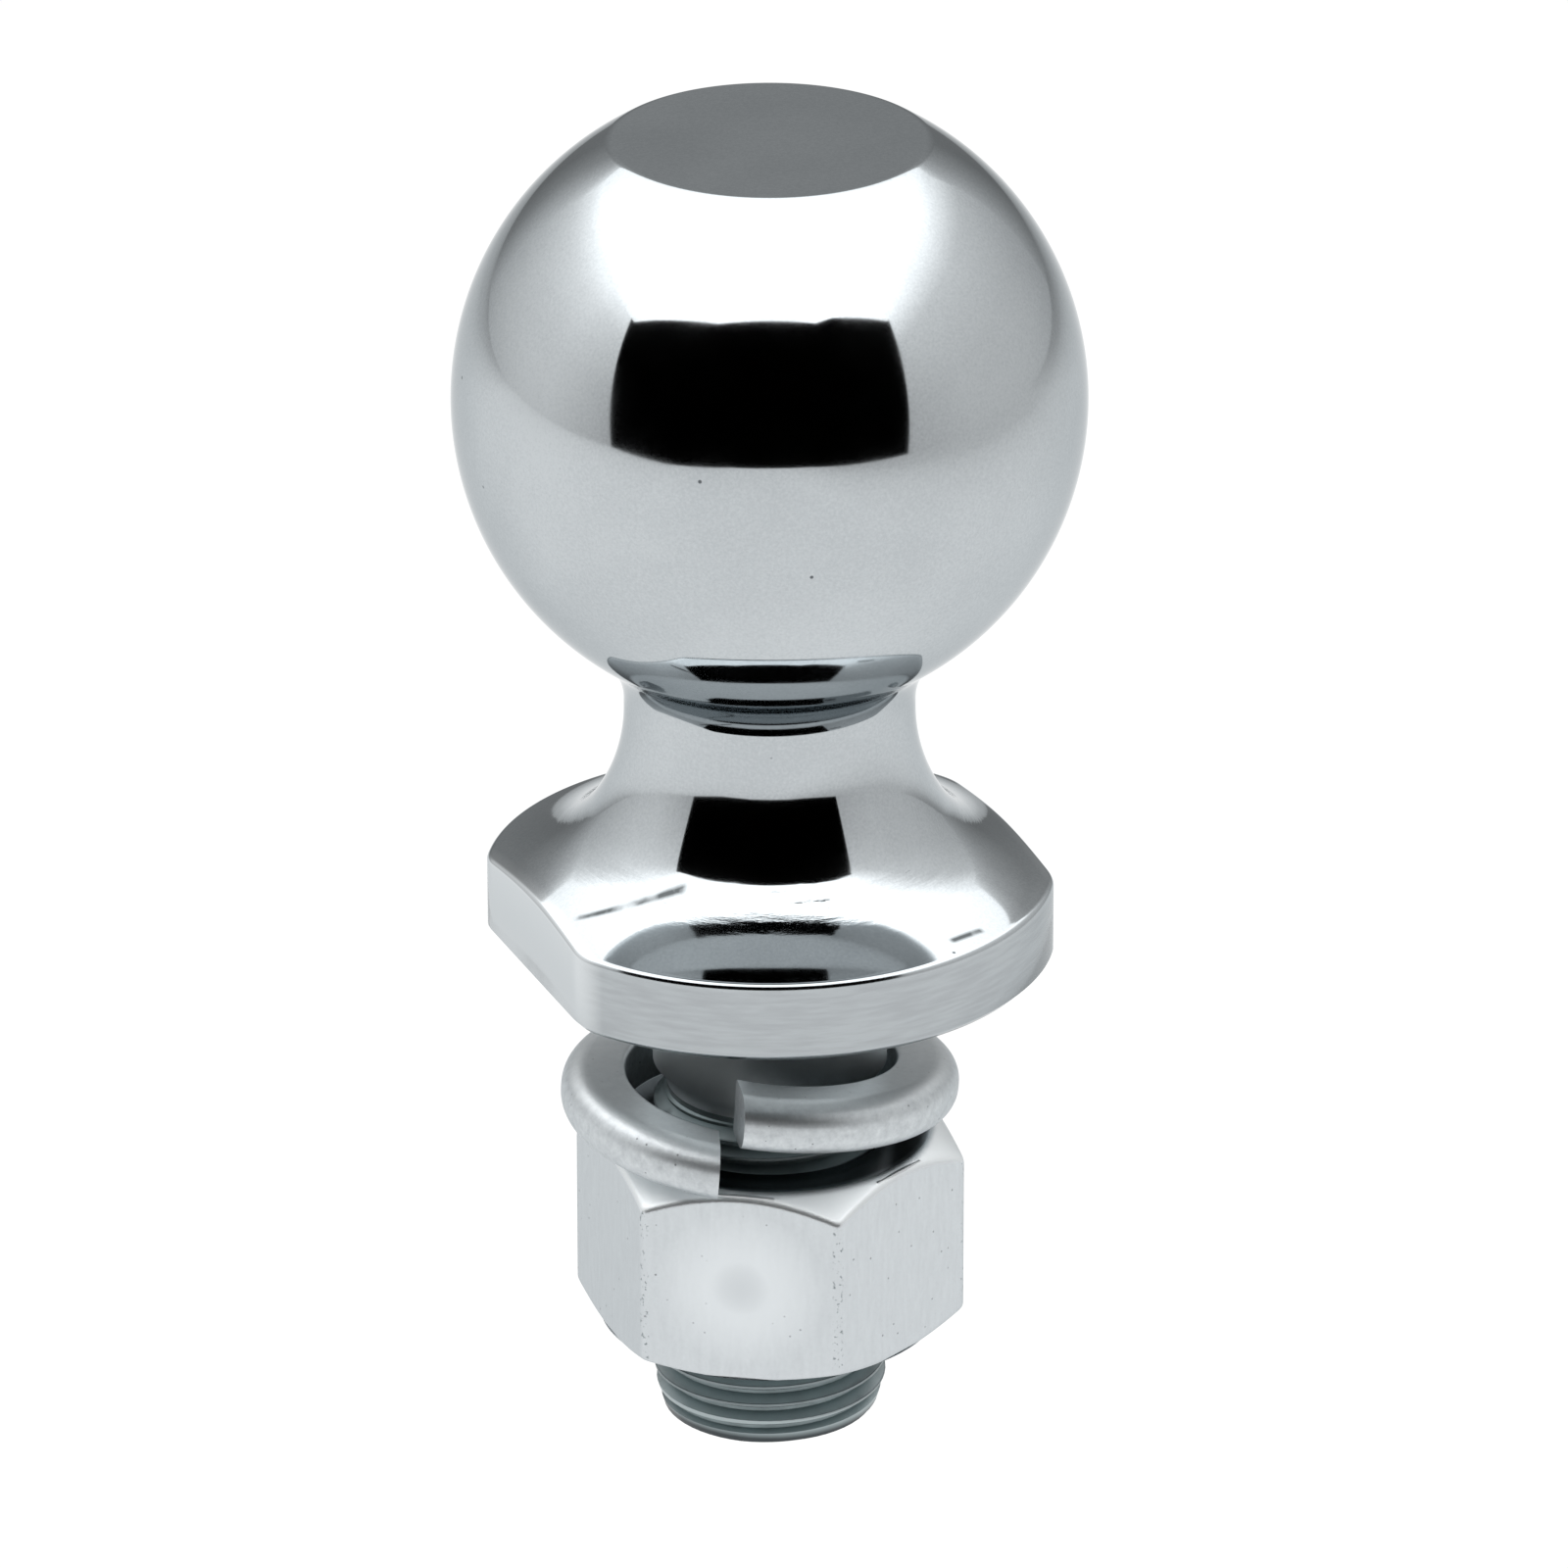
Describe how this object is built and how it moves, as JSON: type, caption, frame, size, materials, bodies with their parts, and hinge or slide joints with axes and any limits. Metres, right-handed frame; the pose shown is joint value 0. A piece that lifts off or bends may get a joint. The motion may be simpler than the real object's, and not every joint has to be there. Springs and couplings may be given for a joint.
{
  "type": "trailer hitch ball",
  "caption": "Two-inch trailer hitch ball with flange and threaded shank, held on a drawbar by a split lock washer and hex nut.",
  "frame": {"origin": "middle of the flange's underside, on the shank's axis, where the ball sits on the drawbar", "axes": "+Z along the shank's axis, up to the ball; +X across the flange's two wrench flats"},
  "size_m": [0.0508, 0.0508, 0.1107],
  "materials": {
    "chrome_plate": "mirror polished",
    "zinc_washer": "satin zinc plate",
    "zinc_nut": "satin zinc plate"
  },
  "bodies": {
    "ball": {"hitch_ball": "chrome_plate"},
    "washer": {"lock_washer": "zinc_washer"},
    "nut": {"hex_nut": "zinc_nut"}
  },
  "joints": [
    {"name": "washer_slide", "type": "slide", "parent": "ball", "child": "washer", "axis": [0, 0, 1], "range_m": [-0.02492, 0.00609]},
    {"name": "nut_spin", "type": "hinge", "parent": "washer", "child": "nut", "pos_m": [0, 0, 0], "axis": [0, 0, 1], "range_deg": [-5650, 1380]}
  ],
  "couplings": [
    {"joint": "washer_slide", "follows": "nut_spin", "m_per_rad": 0.00025266}
  ]
}
